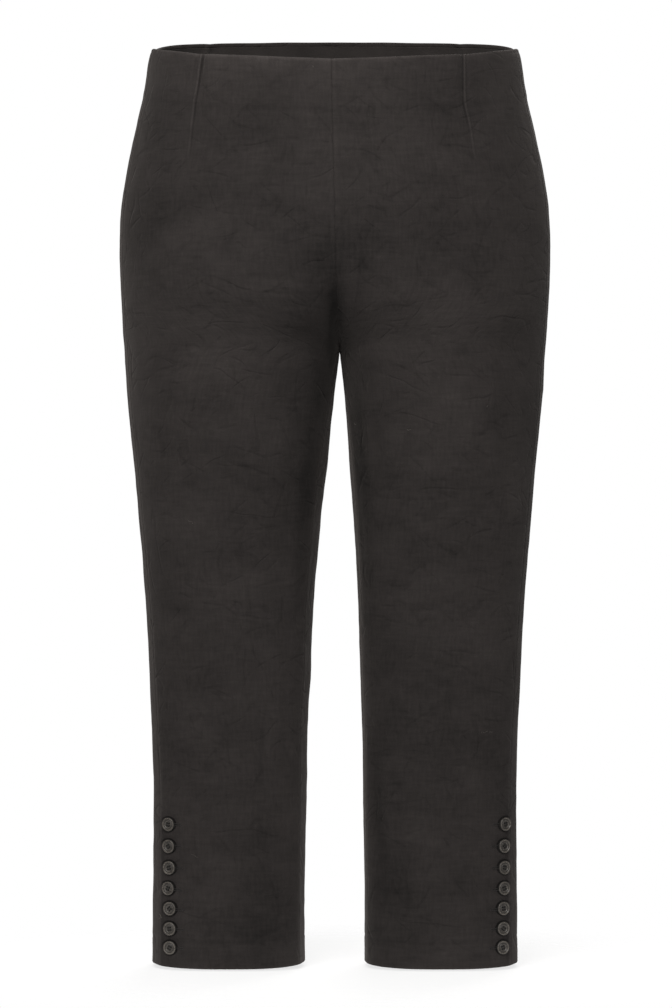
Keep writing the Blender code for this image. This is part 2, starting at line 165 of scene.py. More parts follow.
# Creases by panel: how wide, how deep (ridges below nothing), and the points they run through, as x and z.
# They fade out towards both ends.
CREASE_ENDS = (0.02, 0.98)
CREASE_FADE = 0.7
CREASES = {
    "front_right": [
        (5, 0.5, (-93, -22), (-89, -34)),
        (3.2, 0.45, (-55, -112), (-44, -126), (-37, -139)),
        (3, 0.35, (-66, -136), (-52, -122), (-40, -116)),
        (6, 0.6, (-92, -246), (-66, -244), (-46, -250)),
        (5, -0.4, (-90, -258), (-60, -254)),
        (7, 0.7, (-150, -330), (-128, -352), (-112, -392)),
        (6, -0.6, (-27, -330), (-34, -420), (-44, -520), (-50, -575)),
        (9, 1.1, (-13, -318), (-22, -400), (-35, -500), (-40, -600)),
        (3, -0.5, (-156, -497), (-151, -493), (-146, -499), (-140, -495)),
        (5, 0.6, (-88, -570), (-86, -592), (-80, -618)),
        (5, 0.45, (-60, -588), (-52, -600), (-46, -612)),
        (4, 0.8, (-76, -695), (-75, -735), (-76, -772)),
        (4.5, -0.5, (-70, -700), (-69, -770)),
        (4, 0.6, (-54, -690), (-55, -748)),
        (4, 0.6, (-78, -788), (-77, -836)),
        (4, 0.6, (-60, -880), (-57, -895), (-62, -910), (-58, -922)),
        (3.2, -0.4, (-160, -842), (-150, -845), (-140, -844)),
        (8, 0.5, (-170, -130), (-190, -200), (-204, -262)),
        (9, 0.5, (-186, -300), (-178, -380), (-172, -470)),
    ],
    "front_left": [
        (4, 0.5, (41, -275), (80, -277), (118, -276)),
        (5, 0.6, (60, -594), (92, -583), (120, -577), (140, -568)),
        (5, -0.5, (64, -602), (96, -591), (128, -582)),
        (4, 0.5, (86, -541), (106, -552)),
        (7, 1.0, (22, -360), (25, -410), (30, -462)),
        (6, -0.8, (32, -350), (36, -410), (40, -470)),
        (6, 0.7, (43, -365), (46, -420), (46, -475)),
        (7, 1.0, (41, -716), (44, -782), (50, -846), (56, -890)),
        (6, -0.6, (52, -730), (56, -800), (62, -860)),
        (5, 0.5, (98, -68), (112, -74), (124, -72)),
        (6, 0.5, (70, -196), (96, -214), (130, -222)),
        (7, 0.6, (150, -210), (120, -238), (86, -252)),
        (5, 0.4, (30, -118), (44, -138), (50, -160)),
        (8, 0.5, (188, -150), (204, -214), (208, -270)),
        (8, 0.5, (180, -330), (172, -420), (168, -500)),
        (4, 0.5, (120, -650), (118, -690), (121, -722)),
    ],
    "back_left": [
        (9, 1.6, (14, -292), (52, -300), (98, -296), (140, -288)),
        (8, 1.2, (20, -318), (60, -334), (104, -338)),
        (7, -0.8, (26, -306), (70, -318), (118, -318)),
        (7, 0.9, (30, -352), (72, -380), (112, -392)),
        (6, 0.7, (150, -250), (122, -272), (90, -282)),
        (6, 0.7, (60, -560), (98, -574), (140, -566)),
        (6, 0.8, (158, -600), (118, -612), (80, -604)),
        (5, -0.5, (70, -586), (110, -594), (146, -588)),
        (6, 0.7, (60, -640), (96, -632), (124, -640)),
        (5, 0.6, (110, -720), (112, -790), (106, -850)),
        (5, 0.5, (70, -800), (74, -880)),
        (5, 0.5, (44, -70), (70, -96), (82, -128)),
    ],
    "back_right": [
        (9, 1.5, (-12, -296), (-48, -306), (-92, -300), (-132, -286)),
        (8, 1.3, (-18, -322), (-58, -342), (-110, -350)),
        (7, -0.8, (-24, -310), (-66, -324), (-120, -326)),
        (7, 0.8, (-28, -366), (-66, -396), (-98, -410)),
        (6, 0.7, (-160, -262), (-130, -280), (-94, -288)),
        (6, 0.8, (-56, -574), (-100, -586), (-150, -572)),
        (6, 0.7, (-150, -610), (-112, -624), (-70, -618)),
        (5, -0.5, (-62, -598), (-108, -606), (-144, -596)),
        (5, 0.6, (-96, -700), (-92, -772), (-98, -840)),
        (5, 0.5, (-140, -760), (-136, -850)),
        (5, 0.5, (-52, -84), (-76, -112), (-84, -150)),
    ],
}

# Crumple of the washed cloth: the size of a wrinkle, how deep it is, and where its pattern starts; then where
# it sets in from an edge, and the level between ridge and hollow
CRUMPLES = [(62.0, 0.9, 3.0), (27.0, 0.5, 17.0), (12.0, 0.2, 41.0)]
CRUMPLE_FADE = (1.0, 12.0)
CRUMPLE_LEVEL = 0.2

# Sharp small creases pressed into the nap: which way they run, their length, how far apart and how wide
CREASE_NETS = [(28, 60, 21, 2.2), (-42, 52, 17, 2.0), (83, 70, 24, 2.2), (-8, 80, 26, 2.0)]

# How far apart on the cloth the left and the right panels are cut, so that their creases differ
GRAIN_SHIFT = 430.0

# Patches of painted light and shade on the front, lighter where the light falls most and darker in the hollow
# of the crotch and down the inner legs, darker where the amount is below nothing: x and z, how wide and high
# each is, and how much
LIGHT_AND_SHADE_PATCHES = [
    (-52, -12, 80, 30, 0.3),
    (28, -20, 60, 30, 0.14),
    (-182, -105, 22, 70, -0.22),
    (-60, -100, 80, 45, -0.13),
    (-128, -180, 42, 40, -0.18),
    (-14, -235, 18, 45, -0.25),
    (2, -290, 10, 70, -0.6),
    (0, -302, 5.5, 34, -1.7),
    (35, -280, 40, 30, 0.34),
    (105, -330, 55, 70, 0.2),
    (-120, -345, 62, 70, 0.24),
    (-13, -370, 10, 50, -0.5),
    (-29, -445, 13, 70, -0.5),
    (13, -368, 8, 45, -0.5),
    (27, -490, 12, 140, -0.65),
    (186, -460, 26, 150, 0.2),
    (54, -680, 28, 260, -0.24),
    (-94, -740, 42, 130, -0.18),
    (-76, -900, 28, 80, -0.36),
    (52, -850, 28, 50, -0.2),
]

# Flat cuts with seam turnings and hem: width and length in metres, area in square metres
Cut = namedtuple("Cut", "width length area")

# Where two panels are sewn together: their edges, 0 the side and -1 the inner one, and between which drops
# the pressed turnings show inside
Seam = namedtuple("Seam", "first first_edge second second_edge top bottom")
SEAMS = {
    "side_left": Seam("front_left", 0, "back_left", 0, 54.0, 797.0),
    "side_right": Seam("front_right", 0, "back_right", 0, 54.0, 797.0),
    "centre_front": Seam("front_right", -1, "front_left", -1, 54.0, 400.0),
    "centre_back": Seam("back_right", -1, "back_left", -1, 54.0, 480.0),
    "inseam_left": Seam("front_left", -1, "back_left", -1, 300.0, 1100.0),
    "inseam_right": Seam("front_right", -1, "back_right", -1, 300.0, 1100.0),
}

# How a button is turned, from its edge to the dish in its middle: how far each ring is inset and raised. Its
# back has one ring, its edges a small bevel, and its holes lie that far across and up from the middle.
Ring = namedtuple("Ring", "inset rise")
BUTTON_RADIUS = 7.15
BUTTON_BASE = 1.35
BUTTON_RINGS = [
    Ring(0.35, 0.5),
    Ring(0.35, 0.12),
    Ring(0.75, 0.0),
    Ring(0.3, -0.5),
    Ring(0.7, -0.05),
    Ring(0.3, 0.38),
    Ring(0.45, 0.0),
    Ring(0.35, -0.45),
    Ring(1.0, -0.12),
]
BUTTON_BACK = Ring(0.9, 0.35)
BUTTON_BEVEL = 0.11
BEVEL_ABOVE = math.radians(18)
BUTTON_SMOOTH = math.radians(28)
THREAD_SMOOTH = math.radians(40)
HOLE_RADIUS = 0.9
HOLE_PLACE = 1.4
DRILL_LENGTH = 8.0
STRAND_RADIUS = 0.25
STRAND_ASIDE = 0.22
STRAND_LIFT = 0.28
STRAND_BENDS = ((0.22, -0.12), (0.03, -1.2))
SHANK_RADIUS = 1.5
SHANK_LENGTH = 1.3
SHANK_PLACE = -0.3

# Painted shade with some dirt, by distance from the button's middle: darkest round its holes, in the channel
# and at its edge
SHADE_AND_GRIME_PLACES = (0.0, 1.9, 2.4, 2.8, 3.6, 4.2, 4.8, 5.2, 5.75, 6.5, 6.85, 7.1)
SHADE_AND_GRIME = (0.9, 0.95, 0.95, 0.55, 0.4, 0.7, 0.95, 0.6, 0.05, 0.0, 0.6, 1.0)
BUTTON_COUNT = 7
BUTTON_SPINS = {"left": (12, 40, -8, 25, 5, -35, 18), "right": (-6, 30, 14, -20, 45, 8, -28)}

BUTTONHOLE_LENGTH = 18.5
BUTTONHOLE_START = (-2.5, 0.0, 0.1)
PURL_GAP = 0.85
PURL_RADIUS = 0.42
PURL_CUTS = 22

# Pale snags and lint: panel, ends as x and z, how thick. Then how far and how fast a hair waves, how far off
# the cloth it lies by its thickness, and how often it is cut.
Snag = namedtuple("Snag", "panel start end width")
SNAGS = [
    Snag("front_left", (150.5, -712.0), (157.5, -711.2), 0.22),
    Snag("front_left", (159.5, -712.4), (163.5, -711.6), 0.2),
    Snag("front_left", (19.5, -393.0), (24.5, -394.0), 0.25),
    Snag("front_left", (75.0, -401.5), (79.0, -402.5), 0.25),
    Snag("front_left", (156.0, -375.0), (158.5, -374.0), 0.25),
    Snag("front_right", (-23.5, -30.5), (-22.0, -31.5), 0.3),
    Snag("front_right", (-152.0, -494.0), (-146.5, -497.5), 0.2),
    Snag("front_right", (-148.0, -840.0), (-141.5, -843.5), 0.18),
    Snag("front_right", (-184.5, -903.5), (-179.5, -907.0), 0.4),
    Snag("front_right", (-183.5, -909.0), (-179.5, -907.0), 0.35),
]
SNAG_WAVE = (0.5, 1.3)
SNAG_LIFT = 0.7
SNAG_CUTS = 9

# ---- Studio, in metres ----

CAMERA_PLACE = (0.00105, -4.5, -0.4767)
CAMERA_LENS = 153.06
FLOOR_LEVEL = -0.9612
AMBIENT = 0.23
FLOOR_REACH = (0.23, 0.45)
FLOOR_ALPHA = 0.5
FLOOR_GLOW = 0.48
FLOOR_SIZE = 4.0

# Soft lights: place, what they are aimed at, size, power in watts, tint
Light = namedtuple("Light", "place target size power tint")
LIGHTS = {
    "key_light": Light((-0.65, -2.2, 1.4), (0, 0, -0.4), (1.2, 1.0), 33.0, (1.0, 0.985, 0.97)),
    "top_light": Light((-0.15, -1.1, 0.85), (0, 0, -0.08), (0.9, 0.4), 3.6, (1.0, 0.99, 0.98)),
    "thigh_light": Light((-0.15, -1.4, -0.28), (0, 0, -0.3), (0.9, 0.3), 3.0, (1.0, 0.99, 0.98)),
    "fill_light": Light((0.9, -3.0, 0.2), (0, 0, -0.5), (1.4, 1.8), 8.0, (1.0, 0.99, 0.98)),
    "back_light": Light((0.6, 2.7, 1.3), (0, 0, -0.4), (1.6, 1.4), 45.0, (1.0, 0.99, 0.98)),
}


# ---- Shader helpers ----


class Value:
    """A shader socket that can be used in a sum."""

    def __init__(self, finish, socket):
        self.finish = finish
        self.socket = socket

    def maths(self, operation, *others):
        sockets = dict(enumerate((self, *others)))
        return self.finish.node("ShaderNodeMath", {"operation": operation}, sockets)

    def __add__(self, other):
        return self.maths("ADD", other)

    def __sub__(self, other):
        return self.maths("SUBTRACT", other)

    def __rsub__(self, other):
        return self.finish.node("ShaderNodeMath", {"operation": "SUBTRACT"}, {0: other, 1: self})

    def __mul__(self, other):
        return self.maths("MULTIPLY", other)


class Finish:
    """One material and the nodes that make it."""

    def __init__(self, name, **constants):
        self.material = bpy.data.materials.new(name)
        self.material.use_nodes = True
        self.tree = self.material.node_tree
        self.shader = self.tree.nodes["Principled BSDF"]
        for socket, value in constants.items():
            self.shader.inputs[socket.replace("_", " ")].default_value = value

    def node(self, kind, settings, sockets, output=0):
        """A node of a kind, its settings made first and its sockets then given values or links."""
        made = self.tree.nodes.new(kind)
        stops = settings.pop("stops", None)
        for setting, value in settings.items():
            setattr(made, setting, value)
        if stops:
            ramp = made.color_ramp
            while len(ramp.elements) < len(stops):
                ramp.elements.new(0.5)
            for element, (place, colour) in zip(ramp.elements, stops):
                element.position = place
                element.color = (*colour, 1.0)
        for socket, value in sockets.items():
            if isinstance(value, Value):
                self.tree.links.new(value.socket, made.inputs[socket])
            else:
                made.inputs[socket].default_value = value
        return Value(self, made.outputs[output])

    def places(self):
        """Where a point is on the object, in metres."""
        return self.node("ShaderNodeTexCoord", {}, {}, "Object")

    def stretched(self, vector, scale):
        """The same places, drawn out or pressed together."""
        return self.node("ShaderNodeMapping", {}, {"Vector": vector, "Scale": scale})

    def weave(self):
        """Where a point is on the flat cloth, in metres."""
        return self.node("ShaderNodeUVMap", {"uv_map": "cloth"}, {})

    def mark(self, name):
        """A value laid down on the piece itself."""
        return self.node("ShaderNodeAttribute", {"attribute_name": name}, {}, "Fac")

    def noise(self, vector, size, detail=2.0, roughness=0.5, distortion=0.0):
        """Cloudy noise between 0 and 1, its patches about as large as the size in millimetres."""
        sockets = {"Vector": vector, "Scale": 1 / (size * MM), "Detail": detail}
        sockets.update({"Roughness": roughness, "Distortion": distortion})
        return self.node("ShaderNodeTexNoise", {}, sockets, "Fac")

    def clamped(self, value, low, high):
        """The value drawn out so that low gives 0 and high gives 1."""
        sockets = {"Value": value, "From Min": low, "From Max": high}
        return self.node("ShaderNodeMapRange", {"clamp": True}, sockets)

    def ramped(self, value, *stops):
        """A colour from a row of them, each with its place."""
        return self.node("ShaderNodeValToRGB", {"stops": stops}, {"Fac": value})

    def mixed(self, factor, first, second):
        """A colour between two."""
        sockets = {0: factor, 6: first, 7: second}
        return self.node("ShaderNodeMix", {"data_type": "RGBA"}, sockets, 2)

    def warped(self, vector, size, reach):
        """The same places, each moved about by as much as the reach in millimetres."""
        sockets = {"Vector": vector, "Scale": 1 / (size * MM), "Detail": 1.0}
        drift = self.node("ShaderNodeTexNoise", {}, sockets, "Color")
        moved = {0: drift, 1: (reach * MM,) * 3, 2: vector}
        return self.node("ShaderNodeVectorMath", {"operation": "MULTIPLY_ADD"}, moved)

    def turned(self, vector, degrees):
        """The same places, turned in the plane of the cloth."""
        sockets = {"Vector": vector, "Rotation": (0.0, 0.0, math.radians(degrees))}
        return self.node("ShaderNodeMapping", {}, sockets)

    def line(self, value, place, width):
        """1 where the value is at the place, down to 0 that far to either side."""
        return 1 - self.clamped((value - place).maths("ABSOLUTE"), 0.0, width)

    def creased(self, vector, degrees, length, size, width):
        """Sharp creases between 0 and 1, drawn out one way, their size apart, their width in millimetres."""
        drawn = self.stretched(self.turned(vector, degrees), (size / length, 1.0, 1.0))
        return self.line(self.noise(drawn, size, 0.5), 0.5, 0.5 * width / size)

    def bumped(self, height, distance, strength=1.0):
        """Normals of a surface with that height, in metres."""
        sockets = {"Height": height, "Distance": distance, "Strength": strength}
        return self.node("ShaderNodeBump", {}, sockets)

    def feed(self, **links):
        """Link values into the main shader."""
        for socket, value in links.items():
            self.tree.links.new(value.socket, self.shader.inputs[socket.replace("_", " ")])
        return self.material


def rgb(red, green, blue):
    """A colour with its alpha."""
    return (red, green, blue, 1.0)


def brushed_cloth():
    """Outside of the cloth: a matt brushed nap with sharp small creases, lighter with wear at its edges and
    with painted light and shade.
    """
    cloth = Finish(
        "brushed_cloth",
        Sheen_Weight=0.12,
        Sheen_Roughness=0.5,
        Sheen_Tint=rgb(0.95, 0.86, 0.8),
        Specular_IOR_Level=0.2,
    )
    places, uv = cloth.places(), cloth.weave()
    wear_and_painted_light, dart, taper = cloth.mark("wear_and_painted_light"), cloth.mark("from_dart"), cloth.mark("dart_taper")
    ridge = cloth.line(dart, -1.5, 1.5) * taper
    groove = (cloth.line(dart, 0.5, 1.2) + cloth.line(dart, -3.4, 0.9) * 0.5) * taper
    # Painted shadow: a dark ring on the cloth just outside each button's edge, heaviest above it and away
    # from the vent
    button_shadow = cloth.line(cloth.mark("from_button"), 0.6, 1.3) * (cloth.mark("over_button") * 0.6 + 0.6)
    drifts = cloth.noise(cloth.stretched(places, (0.6, 1.0, 1.0)), 95.0, 2.0)
    clouds = cloth.noise(cloth.stretched(places, (0.6, 0.6, 1.0)), 30.0, 4.0, 0.62)
    picks = cloth.noise(cloth.stretched(uv, (0.16, 1.0, 1.0)), 3.8, 3.0, 0.6)
    warps = cloth.noise(cloth.stretched(uv, (1.0, 0.2, 1.0)), 3.0, 3.0, 0.6)
    nap = cloth.noise(uv, 1.2, 3.0, 0.7)
    loose = cloth.warped(uv, 34.0, 8.0)
    creases = 0.0
    for turn, length, size, width in CREASE_NETS:
        lines = cloth.creased(loose, turn, length, size, width)
        where = cloth.clamped(cloth.noise(cloth.turned(uv, turn), 1.7 * size, 2.0), 0.5, 0.62)
        creases = lines * where + creases
    tone = drifts * 0.55 + clouds * 0.5 + picks * 0.37 + warps * 0.43 + nap * 0.5 - 1.175
    # Painted light on the dart's ridge, partly wear; painted shade in its groove, the fine creases and round
    # each button
    level = tone * 0.8 + wear_and_painted_light * 0.5 - creases * 0.075 + ridge * 0.27 - groove * 0.28 - button_shadow * 0.8 + 0.5
    colour = cloth.ramped(
        level,
        (0.0, (0.0045, 0.0039, 0.0037)),
        (0.3, (0.0205, 0.0176, 0.0166)),
        (0.5, (0.0315, 0.0270, 0.0256)),
        (0.7, (0.0430, 0.0370, 0.0350)),
        (1.0, (0.0720, 0.0625, 0.0594)),
    )
    height = nap * 0.14 + picks * 0.2 + warps * 0.15 - creases * 0.36 + ridge * 0.4 - groove * 0.4
    normal = cloth.bumped(height, 0.0014, 0.9)
    return cloth.feed(Base_Color=colour, Roughness=nap * 0.1 + 0.84, Normal=normal)


def plain_inside():
    """Inside of the cloth and the facings: smoother, with a fine plain weave."""
    cloth = Finish("plain_inside", Sheen_Weight=0.12, Sheen_Roughness=0.5, Specular_IOR_Level=0.2)
    clouds = cloth.noise(cloth.places(), 30.0, 2.0)
    weave = cloth.noise(cloth.stretched(cloth.weave(), (1.0, 0.5, 1.0)), 1.1, 2.0, 0.6)
    tone = cloth.clamped(clouds * 0.7 + weave * 0.6, 0.4, 0.9)
    colour = cloth.mixed(tone, rgb(0.033, 0.0285, 0.0267), rgb(0.060, 0.0522, 0.0488))
    normal = cloth.bumped(weave, 0.0004, 0.7)
    return cloth.feed(Base_Color=colour, Normal=normal, Roughness=weave * 0.1 + 0.85)


def stitched_thread(name, dark, light):
    """Twisted sewing thread, a little shinier than the cloth."""
    thread = Finish(name, Sheen_Weight=0.1, Specular_IOR_Level=0.35)
    strands = thread.noise(thread.places(), 0.5, 2.0)
    colour = thread.mixed(strands, dark, light)
    normal = thread.bumped(strands, 0.0002)
    return thread.feed(Base_Color=colour, Normal=normal, Roughness=strands * 0.2 + 0.55)


def pale_lint():
    """Pale grey-brown lint."""
    lint = Finish("pale_lint", Sheen_Weight=0.2)
    fuzz = lint.noise(lint.places(), 0.4, 2.0)
    colour = lint.mixed(fuzz, rgb(0.09, 0.08, 0.07), rgb(0.2, 0.18, 0.16))
    return lint.feed(Base_Color=colour, Roughness=fuzz * 0.2 + 0.7)


def marbled_horn():
    """The buttons' satin resin, streaked like horn."""
    horn = Finish("marbled_horn", Specular_IOR_Level=0.6, Coat_Weight=0.3, Coat_Roughness=0.2)
    places, shade_and_grime = horn.places(), horn.mark("shade_and_grime")
    streaks = horn.noise(horn.stretched(places, (1.0, 0.6, 2.6)), 4.2, 4.0, 0.6, 2.2)
    flecks = horn.noise(places, 0.7, 2.0, 0.6)
    clean = horn.ramped(
        horn.clamped(streaks * 0.85 + flecks * 0.3, 0.4, 0.72),
        (0.0, (0.036, 0.030, 0.025)),
        (0.4, (0.082, 0.070, 0.058)),
        (0.75, (0.145, 0.126, 0.106)),
        (1.0, (0.250, 0.221, 0.190)),
    )
    # Painted shade with some dirt: darker round the holes, in the channel and at the edge
    colour = horn.mixed(shade_and_grime * 0.9, clean, rgb(0.010, 0.0086, 0.0075))
    normal = horn.bumped(flecks, 0.0001, 0.6)
    return horn.feed(Base_Color=colour, Roughness=shade_and_grime * 0.4 + 0.26, Normal=normal)


def studio_floor():
    """Plain pale floor, thinning out into the white all round."""
    floor = Finish(
        "studio_floor",
        Base_Color=rgb(0.8, 0.8, 0.8),
        Roughness=0.9,
        Specular_IOR_Level=0.1,
        Emission_Color=WHITE,
        Emission_Strength=FLOOR_GLOW,
    )
    away = floor.node("ShaderNodeVectorMath", {"operation": "LENGTH"}, {0: floor.places()}, "Value")
    near, far = FLOOR_REACH
    return floor.feed(Alpha=(1 - floor.clamped(away, near, far)) * FLOOR_ALPHA)


# ---- Reading a panel's outside from its solid ----


def outside_faces(shell):
    """The largest run of faces that soft edges join: the outside of the wall."""
    waiting = set(shell.faces)
    best, best_area = [], 0.0
    while waiting:
        run = [waiting.pop()]
        for face in run:
            for edge in face.edges:
                if len(edge.link_faces) != 2 or edge.calc_face_angle(math.pi) > SOFT_EDGE:
                    continue
                for other in edge.link_faces:
                    if other in waiting:
                        waiting.remove(other)
                        run.append(other)
        area = sum(face.calc_area() for face in run)
        if area > best_area:
            best, best_area = run, area
    return best


def in_line(row, beside):
    """A row's corners in order, from the side seam to the inner one."""
    ends = [corner for corner in row if len(beside[corner] & row) == 1]
    here = max(ends, key=lambda corner: abs(corner.co.x))
    line, left = [here], row - {here}
    while left:
        here = (beside[here] & left).pop()
        line.append(here)
        left.remove(here)
    return line


def panel_grid(name):
    """Points of a panel's outside in millimetres: rows from the waist down, columns from the side seam."""
    shell = bmesh.new()
    shell.from_mesh(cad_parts[name].data)
    bmesh.ops.remove_doubles(shell, verts=shell.verts[:], dist=MERGE * MM)
    shell.normal_update()
    beside = {}
    for face in outside_faces(shell):
        for edge in face.edges:
            a, b = edge.verts
            beside.setdefault(a, set()).add(b)
            beside.setdefault(b, set()).add(a)
    row = {corner for corner in beside if corner.co.z < HEM_LEVEL * MM}
    rows, seen = [], set()
    while row:
        rows.append([corner.co / MM for corner in in_line(row, beside)])
        seen |= row
        row = {other for corner in row for other in beside[corner]} - seen
    shell.free()
    return np.array(rows[::-1])


# ---- Pieces in the scene ----


def only(*things):
    """Select these objects and nothing else."""
    bpy.ops.object.select_all(action="DESELECT")
    for thing in things:
        thing.select_set(True)
    bpy.context.view_layer.objects.active = things[0]


def placed(name, data):
    """A new object in the scene."""
    thing = bpy.data.objects.new(name, data)
    bpy.context.collection.objects.link(thing)
    return thing


def joined(pieces):
    """One object from several, the first one's corners first."""
    only(*pieces)
    bpy.ops.object.join()
    return bpy.context.object


def changed(thing, kind, **settings):
    """Apply a modifier of that kind to an object."""
    change = thing.modifiers.new("change", kind)
    for setting, value in settings.items():
        setattr(change, setting, value)
    only(thing)
    bpy.ops.object.modifier_apply(modifier="change")


def cylinder(corners, radius, length, place=(0, 0, 0), turn=(0, 0, 0)):
    """A cylinder in millimetres, along Z before it is turned."""
    bpy.ops.object.select_all(action="DESELECT")
    bpy.ops.mesh.primitive_cylinder_add(
        vertices=corners, radius=radius * MM, depth=length * MM, location=Vector(place) * MM, rotation=turn
    )
    bpy.ops.object.transform_apply(location=True, rotation=True, scale=True)
    return bpy.context.object


def select_in_edit(thing, kind, test):
    """Go into edit mode with the corners, edges or faces selected that pass the test."""
    only(thing)
    bpy.ops.object.mode_set(mode="EDIT")
    bpy.ops.mesh.select_mode(type=kind)
    bpy.ops.mesh.select_all(action="DESELECT")
    shape = bmesh.from_edit_mesh(thing.data)
    for element in {"VERT": shape.verts, "EDGE": shape.edges, "FACE": shape.faces}[kind]:
        element.select_set(test(element))
    shape.select_flush_mode()
    bmesh.update_edit_mesh(thing.data)


def cut_along(thing, axis, longer, cuts):
    """Cut the edges that run further than that along an axis."""

    def long(edge):
        a, b = (end.co[axis] for end in edge.verts)
        return abs(a - b) > longer

    select_in_edit(thing, "EDGE", long)
    bpy.ops.mesh.subdivide(number_cuts=cuts)
    bpy.ops.object.mode_set(mode="OBJECT")


# ---- Shaping cloth ----


def ramp(value, low, high):
    """0 up to the low value, rising softly to 1 at the high one."""
    t = np.clip((value - low) / (high - low), 0.0, 1.0)
    return t * t * (3 - 2 * t)


def unit(vectors):
    """The same directions, one long."""
    return vectors / np.maximum(np.linalg.norm(vectors, axis=-1, keepdims=True), TINY)


def cuts_along(points, cut_steps, first, last):
    """Where a run of points is cut: as shares of each step, closer together within the first and last."""
    lengths = np.linalg.norm(np.diff(points, axis=0), axis=-1)
    lengths = lengths.reshape(len(points) - 1, -1).mean(axis=1)
    cuts = []
    for i, length in enumerate(lengths):
        count = max(1, round(length / cut_steps[i]))
        places = list(np.arange(count) / count)
        if i == 0:
            near = [place / length for place in first]
            places = near + [t for t in places if t > near[-1] + CUT_CLEAR / count]
        if i == len(lengths) - 1:
            near = [1 - place / length for place in reversed(last)]
            places = [t for t in places if t < near[0] - CUT_CLEAR / count] + near
        cuts.append(places)
    return cuts


def refined(points, cuts):
    """A smooth run through the points along the first axis, cut at those shares of each step."""
    steps = np.diff(points, axis=0)
    lengths = np.linalg.norm(steps, axis=-1, keepdims=True)
    ways = steps / np.maximum(lengths, TINY)
    inner = (ways[:-1] * lengths[1:] + ways[1:] * lengths[:-1]) / (lengths[1:] + lengths[:-1])
    ways = np.concatenate([ways[:1], inner, ways[-1:]])
    out = []
    for i, places in enumerate(cuts):
        for t in places:
            keep = (1 + 2 * t) * (1 - t) ** 2 * points[i] + (3 - 2 * t) * t**2 * points[i + 1]
            lean = t * (1 - t) ** 2 * ways[i] - t**2 * (1 - t) * ways[i + 1]
            out.append(keep + lengths[i] * lean)
    return np.array(out)


def normals_of(points, hand):
    """Outward directions of a grid of points."""
    down = np.gradient(points, axis=0)
    across = np.gradient(points, axis=1)
    return unit(hand * np.cross(across, down))


def run_lengths(points, axis):
    """Distance along each row or column from its start."""
    steps = np.linalg.norm(np.diff(points, axis=axis), axis=-1)
    return np.insert(np.cumsum(steps, axis=axis), 0, 0.0, axis=axis)


def bell(distance, width):
    """1 at no distance, falling away softly on both sides."""
    return np.exp(-((distance / width) ** 2))


def lined(distance, line):
    """What a soft line adds at that distance from an edge."""
    return line.amount * bell(distance - line.place, line.width)


def banded(distance, band):
    """What a band adds at its distance from an edge."""
    return band.amount * (1 - ramp(distance, band.low, band.high))


def crease_depths(name, points):
    """Depth of the listed creases at every point of a panel."""
    flat = points[..., [0, 2]]
    depths = np.zeros(points.shape[:2])
    for width, depth, *stops in CREASES[name]:
        line = np.array(stops, dtype=float)
        lengths = np.linalg.norm(np.diff(line, axis=0), axis=1)
        starts = np.insert(np.cumsum(lengths), 0, 0.0)
        nearest = np.full(depths.shape, np.inf)
        along = np.zeros(depths.shape)
        for start, end, length, before in zip(line, line[1:], lengths, starts):
            way = (end - start) / length
            t = np.clip((flat - start) @ way, 0.0, length)
            away = np.linalg.norm(flat - start - t[..., None] * way, axis=-1)
            closer = away < nearest
            nearest = np.where(closer, away, nearest)
            along = np.where(closer, (before + t) / starts[-1], along)
        fade = np.sin(np.pi * np.clip(along, *CREASE_ENDS)) ** CREASE_FADE
        depths += depth * fade * bell(nearest, width)
    return depths


def crumple_depths(points):
    """Depth of the cloth's fine crumple: thin ridges between shallow hollows."""
    depths = np.zeros(points.shape[:2])
    for size, depth, start in CRUMPLES:
        shift = Vector((start, -start, 2 * start))
        for r, row in enumerate(points):
            for c, point in enumerate(row):
                height = noise.noise(Vector(point) / size + shift)
                depths[r, c] += depth * (abs(height) - CRUMPLE_LEVEL)
    return depths


def cloth_sheet(name, points, thickness, finishes, hand, marks=()):
    """A sheet of cloth from its grid, given its thickness inwards and what its finish reads at each point.
    Its inside takes the last finish."""
    rows, columns = points.shape[:2]
    across = run_lengths(points, 1)
    heights = points[..., 2] - points[..., 2].mean(axis=1, keepdims=True)
    heights -= run_lengths(points, 0).mean(axis=1, keepdims=True)
    uv = np.stack([across - across[:, columns // 2, None] + hand * GRAIN_SHIFT, heights], axis=-1)
    mesh = bpy.data.meshes.new(name)
    corners = []
    for r in range(rows - 1):
        for c in range(columns - 1):
            a, b = r * columns + c, r * columns + c + 1
            ring = (a, b, b + columns, a + columns)
            corners.append(ring if hand > 0 else ring[::-1])
    mesh.from_pydata((points.reshape(-1, 3) * MM).tolist(), [], corners)
    layer = mesh.uv_layers.new(name="cloth")
    spots = np.array([loop.vertex_index for loop in mesh.loops])
    layer.data.foreach_set("uv", (uv.reshape(-1, 2)[spots] * MM).ravel())
    for mark, values in dict(marks).items():
        mesh.attributes.new(mark, "FLOAT", "POINT").data.foreach_set("value", values.ravel())
    for finish in finishes:
        mesh.materials.append(finish)
    mesh.shade_smooth()
    thing = placed(name, mesh)
    changed(thing, "SOLIDIFY", thickness=thickness * MM, offset=-1.0, material_offset=len(finishes) - 1)
    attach(thing, BODY)
    return thing


# ---- Panels ----


